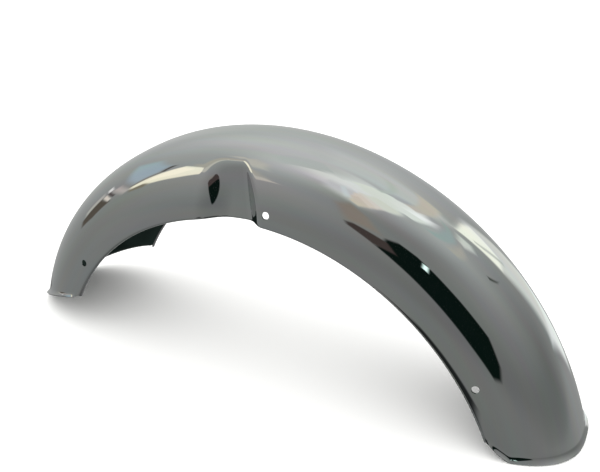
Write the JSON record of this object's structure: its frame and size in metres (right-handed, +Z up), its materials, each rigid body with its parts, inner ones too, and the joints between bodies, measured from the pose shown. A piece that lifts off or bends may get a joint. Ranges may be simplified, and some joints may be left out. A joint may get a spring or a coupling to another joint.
{
  "type": "motorcycle front mudguard",
  "caption": "Arched chrome-plated steel front mudguard for a motorcycle, with side walls pressed in for the fork legs, lipped ends and round stay holes.",
  "frame": {"origin": "on the surface that the guard stands on, midway between its two ends and in its plane of symmetry", "axes": "+Z up, +X from the front end to the rear end, +Y to the rider's right"},
  "size_m": [0.6874, 0.1644, 0.2687],
  "materials": {
    "chrome_sheet": "bright chrome plate over pressed mild steel, slightly smoky"
  },
  "bodies": {
    "root": {"mudguard": "chrome_sheet"}
  },
  "joints": []
}
